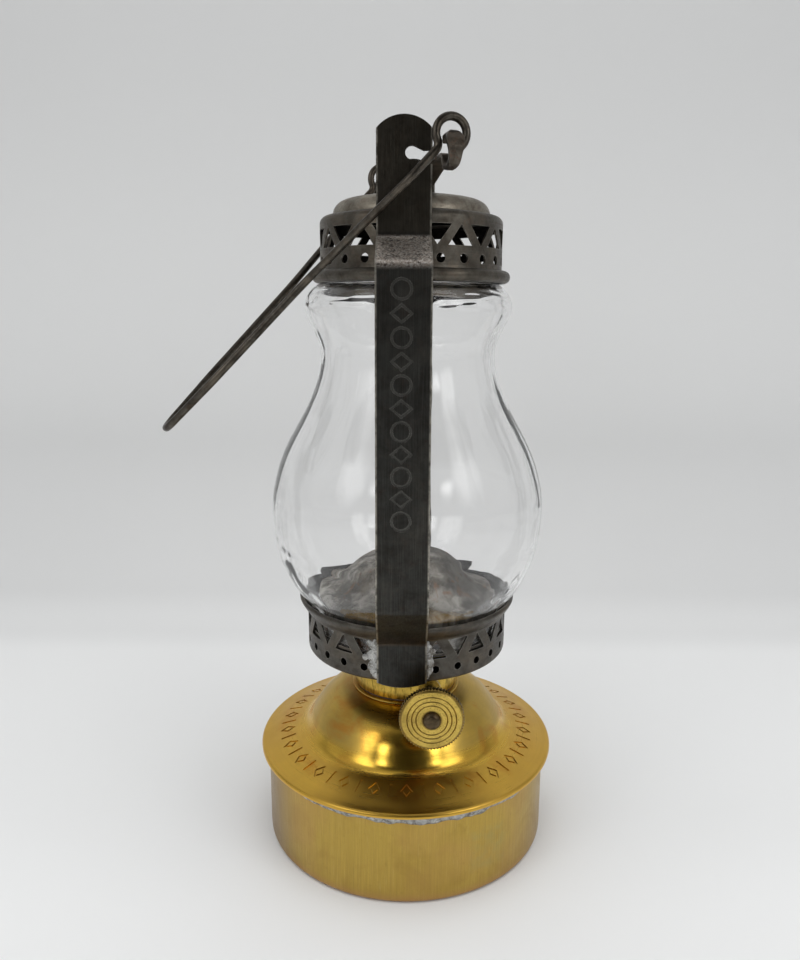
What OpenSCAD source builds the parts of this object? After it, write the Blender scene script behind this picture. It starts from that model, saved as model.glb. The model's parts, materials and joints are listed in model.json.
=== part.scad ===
// Small brass-font hand lantern: flat-wick burner, perforated gallery, glass globe,
// perforated cap held by a turning spring bar, two side straps and a wire bail.
// Origin: centre of the font's underside. +Z up. The wick knob faces -Y, the front.

/* [Font] */
// Outer radius of the font's wall
font_r = 38; // [37:0.5:39]
// Height of the font's wall
font_h = 25.2; // [24.8:0.1:25.2]
// Outer radius of the rolled lip
lip_r = 40; // [39.9:0.05:40.2]
// Thickness of the brass sheet
brass_t = 0.6; // [0.5:0.05:0.6]
// Number of stamped marks round the font's top
font_marks = 52; // [40:4:56]

/* [Burner] */
// Height of the wick shaft's axis
shaft_z = 47.8; // [47.6:0.1:48]
// Sideways offset of the wick shaft from the lamp's axis
shaft_x = 5.75; // [5.75:0.05:5.9]
// Radius of the wick knob
knob_r = 7.7; // [6:0.1:8]
// Number of milled ridges on the knob's edge
knob_ridges = 64; // [40:2:80]
// Teeth on each spur wheel
spur_teeth = 14; // [10:1:16]
// Width of the flat wick
wick_w = 11.8; // [10:0.1:11.8]
// Thickness of the flat wick
wick_t = 2; // [1.6:0.1:2]

/* [Gallery] */
// Outer radius of the gallery's band
gal_r = 26.6; // [26.6:0.1:26.7]
// Number of holes, and of triangles, round the gallery
gal_n = 28; // [24:2:28]
// Width of the gallery's triangles
gal_tri = 5.6; // [4.4:0.1:5.7]

/* [Globe] */
// Largest outer radius of the glass
globe_r = 35.5; // [34.5:0.1:35.6]
// Thickness of the glass
glass_t = 1.5; // [1.2:0.1:1.5]

/* [Straps] */
// Width of the side straps
strap_w = 12; // [11.5:0.1:12]
// Thickness of the side straps
strap_t = 1; // [0.8:0.1:1]
// Height of the straps' top ends
strap_top = 181.5; // [180:0.5:184]
// Sideways offset of each strap, which puts the slot's end on the centre line
strap_off = 1.3; // [1.3:0.05:1.4]

/* [Cap] */
// Outer radius of the cap's band
cap_r = 22.5; // [22.4:0.1:22.6]
// Number of holes, and of triangles, round the cap
cap_n = 24; // [20:2:24]
// How far the loose cap sits off the lamp's axis, towards +X
cap_dx = 0.6; // [0:0.1:0.6]
// Width of the cap's triangles
cap_tri = 6.7; // [5:0.1:6.8]

/* [Spring bar and bail] */
// Angle of the spring bar from the straps' centre line when it is unlocked
bar_a = 14.5; // [14.5:0.5:17]
// Width of the spring bar
bar_w = 5; // [4:0.2:5.4]
// Diameter of the bail's wire
wire_d = 1.8; // [1.6:0.1:1.8]
// Length of the bail from its hinge axis to its tip
bail_len = 88; // [80:1:100]
// Angle at which the bail hangs below the horizontal
bail_a = 46.3; // [40:0.1:48]

/* [Hidden] */
$fn = 64;

// Suffixes: _r radius, _d diameter, _w width, _h height, _t thickness, _a angle,
// _n count, _y and _z places. Turned profiles are lists of [radius, z].
collar_top = 41;          // top face of the font's collar
bore_r = 13.04;           // female thread in the collar, drawn plain
thread_r = 12.98;         // male thread on the burner, drawn plain
gasket_t = 0.4;
body_r = 14.3;            // top of the burner's body, below the gallery
gal_z0 = 52.4;            // underside of the gallery
floor_z = 58.7;
floor_t = 0.7;
globe_z0 = floor_z + floor_t;
rivet_r = 1.5;
eye_w = 31;               // distance of each bail eye and bar curl from the cap's axis

// ---- Path helpers ----------------------------------------------------------
function unit(v) = v/norm(v);
function reversed(path) = [for (i = [len(path) - 1:-1:0]) path[i]];
function shifted(path, step) = [for (point = path) point + step];
// left half of an outline, completed by its mirror image in x
function symmetric(left) = concat(left, [for (point = reversed(left)) [-point[0], point[1]]]);

function catmull_rom(before, start, end, after, t) =
    0.5*(2*start + (end - before)*t + (2*before - 5*start + 4*end - after)*t*t
         + (3*start - before - 3*end + after)*t*t*t);
// smooth curve through the points, with the given steps between neighbours
function smooth(points, steps = 4) = [
    for (i = [0:len(points) - 2])
        for (k = [0:steps - 1])
            catmull_rom(points[max(i - 1, 0)], points[i], points[i + 1],
                        points[min(i + 2, len(points) - 1)], k/steps),
    points[len(points) - 1]];

function tangent(path, i) = unit(path[min(i + 1, len(path) - 1)] - path[max(i - 1, 0)]);
// path moved to its left by a distance
function beside(path, distance) = [
    for (i = [0:len(path) - 1])
        let (along = tangent(path, i))
            path[i] + distance*[-along[1], along[0]]];
// closed outline of a sheet lying to the left of a path
function sheet(path, thickness) = concat(path, reversed(beside(path, thickness)));

function arc(centre, radius, from, to, steps) = [
    for (k = [0:steps])
        let (angle = from + (to - from)*k/steps)
            centre + radius*[cos(angle), sin(angle)]];
// path with each inner corner rounded
function rounded(path, radius, steps = 7) = concat(
    [path[0]],
    [for (i = [1:len(path) - 2])
        let (back = unit(path[i - 1] - path[i]),
             ahead = unit(path[i + 1] - path[i]),
             corner = acos(back*ahead),
             centre = path[i] + unit(back + ahead)*radius/sin(corner/2),
             start = path[i] + back*radius/tan(corner/2) - centre,
             end = path[i] + ahead*radius/tan(corner/2) - centre,
             sweep = 180 - corner)
            for (k = [0:steps])
                centre + (sin((1 - k/steps)*sweep)*start + sin(k/steps*sweep)*end)/sin(sweep)],
    [path[len(path) - 1]]);

// outline of a toothed wheel; each profile entry is [fraction of the pitch, radius]
function toothed(count, profile) = [
    for (k = [0:count - 1])
        for (entry = profile)
            let (angle = (k + entry[0])*360/count)
                entry[1]*[cos(angle), sin(angle)]];

// ---- Shared shapes ---------------------------------------------------------
// turns an outline of [distance from axis, z] into a bar of width w running towards -Y
module upright(w) {
    rotate([90, 0, -90]) translate([0, 0, -w/2]) linear_extrude(w) children();
}

// stands a shape at radius r and height z, pointing outwards at an angle from the front
module outwards(angle, r, z) {
    rotate([0, 0, angle]) translate([0, -r, z]) rotate([90, 0, 0]) children();
}

function lozenge(half) = [[-half[0], 0], [0, -half[1]], [half[0], 0], [0, half[1]]];
module lozenge_ring(outer, inner) {
    difference() {
        polygon(lozenge(outer));
        polygon(lozenge(inner));
    }
}

module triangle(w, h, up) {
    polygon(up ? [[-w/2, -h/2], [w/2, -h/2], [0, h/2]]
               : [[-w/2, h/2], [0, -h/2], [w/2, h/2]]);
}

// cutters for a row of round holes and a row of triangles through a band;
// triangles whose number has the parity up_parity point up
module perforations(band_r, count, first_a, hole_r, hole_z, tri_w, tri_h, tri_z, tri_lag,
                    up_parity) {
    reach = 2;            // cut on each side of the band's face
    for (k = [0:count - 1]) {
        angle = first_a + k*360/count;
        outwards(angle - tri_lag, band_r - reach, tri_z)
            linear_extrude(2*reach) triangle(tri_w, tri_h, k % 2 == up_parity);
        outwards(angle, band_r - reach, hole_z) cylinder(r = hole_r, h = 2*reach, $fn = 24);
    }
}

// ---- Font ------------------------------------------------------------------
cup_corner_r = 1.5;
lip_roll_r = 0.85;
mark_ring_r = 32.9;
mark_depth = 0.25;
collar_r = 14.15;

module font_cup() {
    underside = [[0, 0.8], [32.6, 0.8], [33.6, 0.5], [34.4, 0.1], [35.2, 0]];
    corner = arc([font_r - cup_corner_r, cup_corner_r], cup_corner_r, -90, 0, 6);
    color([0.76, 0.60, 0.24]) rotate_extrude($fn = 128)
        polygon(sheet(concat(underside, corner, [[font_r, font_h]]), brass_t));
}

// outer face of the font's top, from the rolled lip in to the collar
dome = concat(
    arc([lip_r - lip_roll_r, 24.85], lip_roll_r, -20, 90, 8),
    smooth([[37.6, 26.05], [34.5, 26.9], [31.5, 27.75], [29.2, 28.4], [27.7, 29.2],
            [26.6, 30.6], [25.4, 32.7], [24.0, 34.9], [22.2, 37.0], [20.0, 38.7],
            [17.9, 39.7], [15.8, 40.2], [14.25, 40.35]], 3));

// everything above the stamped band, starting mark_depth below its surface
module mark_zone() {
    band = smooth([[36.6, 26.33], [34.5, 26.9], [31.5, 27.75], [29.4, 28.34]], 3);
    rotate_extrude($fn = 128)
        polygon(concat(shifted(band, [0, -mark_depth]), [[29.4, 31], [36.6, 31]]));
}

module font_top() {
    color([0.80, 0.62, 0.24]) difference() {
        rotate_extrude($fn = 128) polygon(sheet(dome, brass_t));
        // stamped ring of alternate lozenges and bars
        intersection() {
            mark_zone();
            for (k = [0:font_marks - 1])
                rotate([0, 0, k*360/font_marks]) translate([0, -mark_ring_r, 25])
                    linear_extrude(6) {
                        if (k % 2 == 0) lozenge_ring([1.5, 2.1], [0.85, 1.2]);
                        else square([0.6, 3.9], center = true);
                    }
        }
    }
}

module font_seam() {
    // [distance out from the font's wall, z]
    bead = [[0, 21.5], [0.22, 21.8], [0.5, 22.8], [0.85, 23.75], [0.85, 23.9],
            [0.5, 24.15], [0.2, 24.5], [0, 24.7]];
    color([0.62, 0.62, 0.60]) rotate_extrude($fn = 128) polygon(shifted(bead, [font_r, 0]));
}

module font_collar() {
    color([0.80, 0.62, 0.24]) rotate_extrude($fn = 96)
        polygon([[bore_r, 34.5], [collar_r, 34.5], [collar_r, 40.42], [14.5, 40.42],
                 [14.65, 40.6], [14.55, 40.88], [14.3, collar_top], [bore_r, collar_top]]);
}

// ---- Burner ----------------------------------------------------------------
tube_size = [3.1, 13];    // outside of the wick tube
tube_wall = 0.4;
tube_z0 = 31;
tube_h = 43.2;
shaft_r = 1.3;
shaft_bore_r = shaft_r + 0.05;
shaft_inner_y = 6.6;      // rear end of the shaft
shaft_front = 36;         // distance of the shaft's front end from the lamp's axis
bush_r = 2.4;
bush_len = 9.4;
flange_t = 1;
spur_y = 3;               // each spur wheel's middle, in front of and behind the axis
spur_w = 1.6;

// places a shape on the wick shaft's axis at y, with its +z towards the front
module on_shaft(y) {
    translate([shaft_x, y, shaft_z]) rotate([90, 0, 0]) children();
}

module burner_gasket() {
    color([0.30, 0.20, 0.12]) translate([0, 0, collar_top]) difference() {
        cylinder(r = 13.65, h = gasket_t, $fn = 96);
        translate([0, 0, -1]) cylinder(r = 13.2, h = gasket_t + 2, $fn = 96);
    }
}

module burner_base() {
    seat_z = collar_top + gasket_t;
    bottom_z = 35.8;
    bore_z = bottom_z + 0.8;
    outer = [[0, bottom_z], [thread_r, bottom_z], [thread_r, seat_z], [13.6, seat_z],
             [13.9, seat_z + 0.15], [14.1, seat_z + 0.5], [14.15, 48.6], [14.2, 51.0],
             [body_r, 51.6], [body_r, gal_z0 - 0.02], [body_r, gal_z0 + 0.62],
             [15.8, gal_z0 + 0.62], [15.8, gal_z0 + 1.2]];
    inner = [[13.6, gal_z0 + 1.2], [13.6, seat_z + 1.2], [12.2, seat_z + 1.2],
             [12.2, bore_z], [0, bore_z]];
    color([0.78, 0.58, 0.22]) difference() {
        rotate_extrude($fn = 96) polygon(concat(outer, inner));
        translate([0, 0, 35]) linear_extrude(4) square(tube_size + [0.04, 0.04], center = true);
        // small hole through the bottom, on the -X side
        translate([-7.5, 0, 35]) cylinder(r = 0.8, h = 4);
        on_shaft(-9) cylinder(r = bush_r + 0.02, h = 8);
    }
}

module wick_tube() {
    slot_w = 2.3;
    slot_h = 9.8;
    color([0.72, 0.55, 0.22]) difference() {
        translate([0, 0, tube_z0]) linear_extrude(tube_h) square(tube_size, center = true);
        translate([0, 0, tube_z0 - 1]) linear_extrude(46)
            square(tube_size - 2*[tube_wall, tube_wall], center = true);
        // slots in the +X face for the spur wheels
        for (side = [-1, 1])
            translate([0.6, side*spur_y - slot_w/2, shaft_z - slot_h/2])
                cube([3, slot_w, slot_h]);
    }
}

// box round the shaft beside the wick tube, open towards the tube, above and below
module spur_housing() {
    size = [9.7, 10.8, 9.5];
    wall = 0.6;
    near_x = 1.56;
    color([0.70, 0.53, 0.22]) difference() {
        translate([near_x, -size[1]/2, shaft_z - 4.1]) cube(size);
        translate([0, wall - size[1]/2, shaft_z - 6])
            cube([near_x + size[0] - wall, size[1] - 2*wall, 12]);
        on_shaft(10) cylinder(r = shaft_bore_r, h = 20);
    }
}

module shaft_bush() {
    color([0.74, 0.56, 0.24]) on_shaft(-11.6) difference() {
        union() {
            cylinder(r = bush_r, h = bush_len);
            translate([0, 0, bush_len - flange_t]) cylinder(r = bush_r + 0.5, h = flange_t);
        }
        translate([0, 0, -1]) cylinder(r = shaft_bore_r, h = 12);
    }
}

module wick_shaft() {
    color([0.32, 0.28, 0.24]) on_shaft(0) {
        translate([0, 0, -shaft_inner_y]) cylinder(r = shaft_r, h = shaft_inner_y + shaft_front);
        // peened end over the knob
        translate([0, 0, shaft_front]) rotate_extrude()
            polygon(concat([[0, 0], [2.15, 0]], arc([0.75, 0], 1.4, 10, 62, 6),
                           [[1.0, 1.3], [0.6, 1.36], [0, 1.38]]));
    }
}

module spur_wheels() {
    root_r = 3.7;
    crest_r = 4.62;
    tooth = [[-0.32, root_r], [-0.12, crest_r], [0.12, crest_r], [0.32, root_r]];
    color([0.66, 0.50, 0.22]) for (side = [-1, 1]) on_shaft(side*spur_y + spur_w/2)
        difference() {
            linear_extrude(spur_w) polygon(toothed(spur_teeth, tooth));
            translate([0, 0, -1]) cylinder(r = shaft_r, h = 4);
        }
}

module wick_knob() {
    disc_z = 2.4;
    disc_t = 2.2;
    groove_w = 0.16;      // half the width of each turned ring
    ridge = [[-0.5, knob_r - 0.3], [-0.12, knob_r], [0.12, knob_r]];
    color([0.80, 0.66, 0.26]) on_shaft(-31.4) difference() {
        union() {
            cylinder(r = 2.8, h = 3);
            translate([0, 0, disc_z]) rotate_extrude()
                polygon([[0, 0], [6.9, 0], [7.3, 0.25], [7.3, 1.95], [7.0, disc_t], [0, disc_t]]);
            translate([0, 0, 2.75]) linear_extrude(1.5) polygon(toothed(knob_ridges, ridge));
        }
        translate([0, 0, -1]) cylinder(r = shaft_r, h = 8);
        // turned rings on the face
        for (r = [3.7, 4.7, 5.8]) translate([0, 0, disc_z + disc_t]) rotate_extrude()
            polygon([[r - groove_w, 0.1], [r - groove_w, 0], [r, -0.18],
                     [r + groove_w, 0], [r + groove_w, 0.1]]);
    }
}

module wick() {
    color([0.86, 0.82, 0.72]) translate([0, 0, 9]) linear_extrude(66.6)
        square([wick_t, wick_w], center = true);
}

// ---- Gallery and deflector -------------------------------------------------
module gallery_cup() {
    corner_r = 1;
    // [distance out from the band, z]
    flare = [[0, 63.1], [0.3, 63.7], [1.05, 64.6], [1.65, 65.5], [1.98, 66.15]];
    wall = concat([[body_r + 0.03, gal_z0]],
        arc([gal_r - corner_r, gal_z0 + corner_r], corner_r, -90, 0, 5),
        smooth(shifted(flare, [gal_r, 0]), 3),
        arc([gal_r + 1.5, 66.55], 0.6, -15, 100, 7));
    color([0.27, 0.25, 0.24]) difference() {
        rotate_extrude($fn = 128) polygon(sheet(wall, 0.5));
        perforations(band_r = gal_r, count = gal_n, first_a = 15.2, hole_r = 0.97,
                     hole_z = 55.7, tri_w = gal_tri, tri_h = 4.5, tri_z = 60.75,
                     tri_lag = 0, up_parity = 0);
    }
}

module gallery_floor() {
    color([0.30, 0.27, 0.25]) translate([0, 0, floor_z]) difference() {
        cylinder(r = gal_r - 0.54, h = floor_t, $fn = 96);
        translate([0, 0, -1]) cylinder(r = 11, h = 3);
        // two rings of holes: [count, ring radius]
        for (ring = [[24, 15], [30, 20]])
            for (k = [0:ring[0] - 1])
                rotate([0, 0, k*360/ring[0]]) translate([ring[1], 0, -1])
                    cylinder(r = 1.2, h = 3, $fn = 24);
    }
}

// spun dome over the burner with a slot for the flame
module deflector() {
    slot_w = 3.6;
    slot_len = 11;        // between the centres of the round ends
    hole_n = 18;
    spun = smooth([[23.7, 66.4], [23.75, 67.1], [23.2, 67.75], [21.0, 68.5], [18.6, 69.6],
                   [16.6, 71.6], [14.6, 74.0], [12.0, 75.7], [8.6, 76.7], [5.4, 77.1],
                   [3.2, 77.25], [1.6, 77.3]], 3);
    color([0.33, 0.30, 0.27]) difference() {
        rotate_extrude($fn = 96)
            polygon(sheet(concat([[23.5, globe_z0], [23.5, 65.6]], spun,
                                 [[0.8, 77.3], [0, 77.3]]), 0.5));
        translate([0, 0, 70]) linear_extrude(10) {
            square([slot_w, slot_len], center = true);
            for (side = [-1, 1]) translate([0, side*slot_len/2]) circle(r = slot_w/2);
        }
        for (k = [0:hole_n - 1])
            outwards((k + 0.5)*360/hole_n, 20, 62.6) cylinder(r = 1, h = 6, $fn = 24);
    }
}

// ---- Globe -----------------------------------------------------------------
module globe() {
    foot = [[25.8, globe_z0 + 1], [25.85, 62.5], [26.1, 64.2], [27.0, 66.0], [28.9, 68.6],
            [31.0, 71.8], [32.9, 75.6], [34.3, 79.6]];
    // [distance from the largest radius, z]
    belly = [[-0.45, 84.0], [-0.02, 89.0], [-0.15, 94.0], [-1.0, 98.5], [-2.4, 103.2],
             [-4.5, 107.9], [-7.9, 114.1], [-10.9, 120.1]];
    neck = [[22.9, 125.2], [22.2, 129.9], [22.8, 133.4], [24.5, 137.2], [25.8, 139.8],
            [26.15, 142.0], [25.6, 144.3], [24.3, 146.1], [23.0, 147.1], [22.0, 147.5]];
    outer = concat([[25.3, globe_z0], [25.7, globe_z0 + 0.3]],
                   smooth(concat(foot, shifted(belly, [globe_r, 0]), neck)));
    color([0.85, 0.93, 0.92, 0.35]) rotate_extrude($fn = 128) polygon(sheet(outer, glass_t));
}

// ---- Straps ----------------------------------------------------------------
strap_foot = 51.9;        // lowest point of the strap's rounded foot
foot_end_r = 14.5;
top_end_r = 7.8;
strap_face = 37.3;        // outer face of the long straight run, from the lamp's axis
// outer face of the strap, as [distance from axis, z]
strap_path = rounded([[27.8, 50], [27.8, 63.1], [strap_face, 74.6], [strap_face, 150.9],
                      [26, 156.7], [26, strap_top + 2]], 2.2);
// slot edges from its closed end towards the strap's +X edge, before strap_off is added
slot_end = [0.3, 173.9];
slot_lower = [[0.3, 172.5], [2.2, 172.2], [3.9, 171.95], [4.4, 171.6]];
slot_upper = [[4.2, 174.35], [2.8, 174.3], [1.9, 174.7], [1.1, 175.1], [0.3, 175.3]];

// cutter through the front strap, from an [x, z] outline
module strap_cut(depth) {
    translate([0, -20, 0]) rotate([90, 0, 0]) linear_extrude(depth) children();
}

module strap_blank() {
    shift = [strap_off, 0];
    difference() {
        upright(strap_w) polygon(sheet(strap_path, strap_t));
        // bottom and top ends cut to arcs
        strap_cut(30) difference() {
            translate([-10, 40]) square([20, 20]);
            translate([0, strap_foot + foot_end_r]) circle(r = foot_end_r, $fn = 96);
            translate([-10, 54]) square([20, 20]);
        }
        strap_cut(30) difference() {
            translate([-10, strap_top - 6]) square([20, 20]);
            translate([0, strap_top - top_end_r]) circle(r = top_end_r, $fn = 96);
        }
        // slot for the spring bar, open on the +X edge
        strap_cut(12) {
            translate(slot_end + shift) circle(r = 1.4);
            polygon(concat(shifted(slot_lower, shift), [[8, 171.2], [8, 174.5]],
                           shifted(slot_upper, shift)));
        }
    }
}

// stamped column of alternate rings and lozenges
module strap_marks() {
    pitch = 4.95;
    depth = 0.2;
    for (k = [0:10])
        translate([-0.4, -strap_face, 96 + k*pitch]) rotate([90, 0, 0])
            translate([0, 0, -depth]) linear_extrude(1) {
                if (k % 2 == 0) difference() {
                    circle(r = 2.3);
                    circle(r = 1.8);
                }
                else lozenge_ring([2.5, 2.1], [1.75, 1.45]);
            }
}

module strap_front() {
    color([0.17, 0.16, 0.15]) translate([-strap_off, 0, 0]) difference() {
        strap_blank();
        strap_marks();
    }
}

module strap_rear() {
    color([0.17, 0.16, 0.15]) rotate([0, 0, 180]) translate([-strap_off, 0, 0]) strap_blank();
}

// y of the gallery band's front face at x
function band_y(x) = -sqrt(pow(gal_r, 2) - pow(x, 2));

// run of solder down both edges of each strap's foot
module strap_solder() {
    color([0.62, 0.62, 0.60]) for (turn = [0, 180]) rotate([0, 0, turn]) for (side = [-1, 1]) {
        edge_x = side*strap_w/2 - strap_off;
        toe_x = edge_x + side*1.5;
        difference() {
            translate([0, 0, 53.6]) linear_extrude(9.2)
                polygon([[edge_x, -27.45], [edge_x, band_y(edge_x) + 0.6],
                         [toe_x, band_y(toe_x) + 0.6], [toe_x, band_y(toe_x) - 0.15],
                         [edge_x + side*0.9, band_y(edge_x) - 0.4]]);
            translate([0, 0, 50]) cylinder(r = gal_r + 0.01, h = 20, $fn = 128);
        }
    }
}

// ---- Cap -------------------------------------------------------------------
module cap_shell() {
    corner_r = 1.7;
    wall = concat([[cap_r + 0.12, 150.55], [cap_r + 0.03, 150.85], [cap_r, 151.2]],
                  arc([cap_r - corner_r, 161.6], corner_r, 0, 80, 6),
                  [[19.5, 163.5], [17, 163.55], [16.2, 163.55]]);
    color([0.38, 0.35, 0.31]) translate([cap_dx, 0, 0]) difference() {
        rotate_extrude($fn = 128) polygon(sheet(wall, 0.5));
        perforations(band_r = cap_r, count = cap_n, first_a = 16.5, hole_r = 1.08,
                     hole_z = 152.7, tri_w = cap_tri, tri_h = 4.6, tri_z = 157.8,
                     tri_lag = 2, up_parity = 1);
    }
}

module cap_crown() {
    top = smooth([[19.3, 163.9], [19.2, 164.5], [18.85, 165.35], [18.1, 166.25],
                  [16.9, 166.95], [15.0, 167.4], [11.5, 167.85], [6, 168.35], [3, 168.5],
                  [0, 168.5]], 3);
    color([0.58, 0.54, 0.48]) translate([cap_dx, 0, 0]) difference() {
        rotate_extrude($fn = 96) polygon(sheet(concat([[19.3, 163.57]], top), 0.5));
        translate([0, 0, 165]) cylinder(r = rivet_r, h = 6);
    }
}

module cap_bead() {
    color([0.36, 0.34, 0.31]) translate([cap_dx, 0, 149.1]) rotate_extrude($fn = 96)
        translate([cap_r + 0.6, 0]) circle(r = 1.5, $fn = 32);
}

// centres the cap in the globe's mouth
module cap_spigot() {
    inner_r = 19.6;
    outer_r = 20.1;
    flange_r = cap_r - 0.92;
    color([0.42, 0.40, 0.36]) translate([cap_dx, 0, 0]) rotate_extrude($fn = 96)
        polygon([[inner_r, 144.6], [outer_r, 144.6], [outer_r, 148.8], [flange_r, 148.9],
                 [flange_r, 149.4], [inner_r, 149.4]]);
}

module cap_rivet() {
    color([0.34, 0.28, 0.24]) translate([cap_dx, 0, 0]) rotate_extrude()
        polygon([[0, 165.2], [2.2, 165.2], [2.2, 165.9], [rivet_r, 166.4], [rivet_r, 169.6],
                 [3.1, 169.6], [3.0, 170.1], [2.5, 170.6], [1.6, 170.95], [0, 171.05]]);
}

module rivet_washer() {
    color([0.40, 0.38, 0.35]) translate([cap_dx, 0, 167.0]) difference() {
        cylinder(r = 3.6, h = 0.8);
        translate([0, 0, -1]) cylinder(r = rivet_r + 0.02, h = 3);
    }
}

// ---- Spring bar ------------------------------------------------------------
bar_t = 0.9;
bar_z = 173.3;            // middle of the bar's thickness where it passes the strap
curl_z = 173.6;
curl_r = 3.45;
knee_r = 1;               // bend between the bar and its curl
knee = [eye_w - sqrt(pow(curl_r + knee_r, 2) - pow(curl_z - bar_z + knee_r, 2)),
        bar_z - knee_r];
knee_a = atan2(curl_z - knee[1], eye_w - knee[0]);
// middle of the bar's thickness, as [distance from axis, z]
bar_mid = concat(
    smooth([[-4, 169.05], [0, 169.05], [4, 169.05], [8, 169.5], [12, 170.5], [16, 171.7],
            [20, 172.75], [23, 173.22], [24.6, bar_z]], 4),
    arc(knee, knee_r, 90, knee_a, 6),
    arc([eye_w, curl_z], curl_r, 180 + knee_a + 4, 505, 36));
// front view of the curl, as [x, z]
curl_leaf = smooth([[0, 169.6], [0.6, 169.75], [1.05, 170.3], [1.2, 171.3], [1.3, 172.4],
    [1.6, 173.7], [1.85, 174.8], [1.75, 175.8], [1.3, 176.7], [0.7, 177.3], [0.1, 177.55],
    [-0.6, 177.35], [-1.3, 176.75], [-1.85, 175.8], [-2.0, 174.7], [-1.75, 173.6],
    [-1.45, 172.4], [-1.3, 171.2], [-1.1, 170.2], [-0.6, 169.72]], 2);
// left halves of the plan outlines, as [x, y]
bar_plan = [[-bar_w/2, 0], [-bar_w/2, -22.4], [-1, -24.2], [-1, -28.5]];
curl_plan = [[-1, -28.4], [-1.6, -29.8], [-2.1, -32], [-2.1, -40]];

module bar_half() {
    intersection() {
        upright(bar_w)
            polygon(concat(beside(bar_mid, bar_t/2), reversed(beside(bar_mid, -bar_t/2))));
        union() {
            translate([0, 0, 160]) linear_extrude(30) polygon(symmetric(bar_plan));
            // the curl is leaf-shaped from the front, with rounded corners
            intersection() {
                translate([0, 0, 160]) linear_extrude(30) polygon(symmetric(curl_plan));
                translate([0, -28.3, 0]) rotate([90, 0, 0]) linear_extrude(12)
                    polygon(curl_leaf);
            }
        }
    }
}

module spring_bar() {
    color([0.30, 0.20, 0.15]) translate([cap_dx, 0, 0]) rotate([0, 0, bar_a]) difference() {
        union() {
            bar_half();
            rotate([0, 0, 180]) bar_half();
        }
        translate([0, 0, 160]) cylinder(r = rivet_r + 0.05, h = 20);
    }
}

// ---- Bail ------------------------------------------------------------------
// One half lies along -X with its eye at y = -eye_w. From the tip it runs: tip bend,
// tip run, waist bend, middle run, shoulder bend, arm, elbow bend, then the eye.
eye_z = 176.9;            // hinge axis
eye_r = 3.3;
wire_r = wire_d/2;
thin = 0.012;             // straight runs and eyes are thinner than the bends
lap = 0.1;                // and straight runs start a little inside them
tip_r = 4.5;
tip_a = 20;               // slope of the tip run from the X axis
tip_run = 10;
waist_r = 30;
middle_a = 6;
middle_run = bail_len - 63.5;
shoulder_r = 14;
arm_a = 33;
elbow_r = 6;

// direction of a run at a slope, and the normal on its +Y side
function along(slope) = [cos(slope), -sin(slope)];
function across(slope) = [sin(slope), cos(slope)];

tip_c = [-(bail_len - tip_r), 0];
tip_start = tip_c - tip_r*across(tip_a);
tip_end = tip_start + tip_run*along(tip_a);
waist_c = tip_end + waist_r*across(tip_a);
middle_start = waist_c - waist_r*across(middle_a);
middle_end = middle_start + middle_run*along(middle_a);
shoulder_c = middle_end - shoulder_r*across(middle_a);
arm_start = shoulder_c + shoulder_r*across(arm_a);
arm_run = (eye_w + arm_start[1] - elbow_r*(1 - cos(arm_a)))/sin(arm_a);
arm_end = arm_start + arm_run*along(arm_a);
elbow_c = arm_end + elbow_r*across(arm_a);
// small bend between the arm and its eye
neck_r = 1.9;
neck_a = asin(neck_r/(eye_r + neck_r));
neck_x = -(eye_r + neck_r)*cos(neck_a);

module rod(start, end) {
    run = end - start;
    translate([start[0], start[1], 0]) rotate([0, 0, atan2(run[1], run[0])])
        rotate([0, 90, 0]) translate([0, 0, -lap])
            cylinder(r = wire_r - thin, h = norm(run) + 2*lap);
}

module wire_bend(centre, radius, from, to, section_r = wire_r) {
    translate([centre[0], centre[1], 0]) rotate([0, 0, from])
        rotate_extrude(angle = to - from, $fn = 96)
            translate([radius, 0]) circle(r = section_r, $fn = 32);
}

module bail_half() {
    rod(tip_start, tip_end);
    wire_bend(waist_c, waist_r, 270 - tip_a, 270 - middle_a);
    rod(middle_start, middle_end);
    wire_bend(shoulder_c, shoulder_r, 90 - arm_a, 90 - middle_a);
    rod(arm_start, arm_end);
    wire_bend(elbow_c, elbow_r, -90 - arm_a, -90);
    rod([elbow_c[0], -eye_w], [neck_x, -eye_w]);
    translate([0, -eye_w, 0]) rotate([90, 0, 0]) {
        wire_bend([neck_x, neck_r], neck_r, -90, -neck_a);
        wire_bend([0, 0], eye_r, -111.3, 180 - neck_a + 1.6, wire_r - thin);
    }
}

module bail() {
    color([0.28, 0.25, 0.22]) translate([cap_dx, 0, eye_z]) rotate([0, 0, bar_a])
        rotate([0, -bail_a, 0]) {
            wire_bend(tip_c, tip_r, 90 + tip_a, 270 - tip_a);
            bail_half();
            mirror([0, 1, 0]) bail_half();
        }
}

font_cup();
font_top();
font_seam();
font_collar();
burner_gasket();
burner_base();
wick_tube();
spur_housing();
shaft_bush();
wick_shaft();
spur_wheels();
wick_knob();
wick();
gallery_cup();
gallery_floor();
deflector();
globe();
strap_front();
strap_rear();
strap_solder();
cap_shell();
cap_crown();
cap_bead();
cap_spigot();
cap_rivet();
rivet_washer();
spring_bar();
bail();
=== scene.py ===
"""A wick lamp: brass font and burner, steel straps and cap, clear glass globe.

The lamp stands on z = 0 with its axis on Z and its front towards -Y, where the camera is.
The CAD pieces are dressed with procedural materials. The globe, the wick and the solder are
built anew. Lamp dimensions are in millimetres, studio dimensions in metres.
"""
import json
import math
from functools import cached_property

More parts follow.
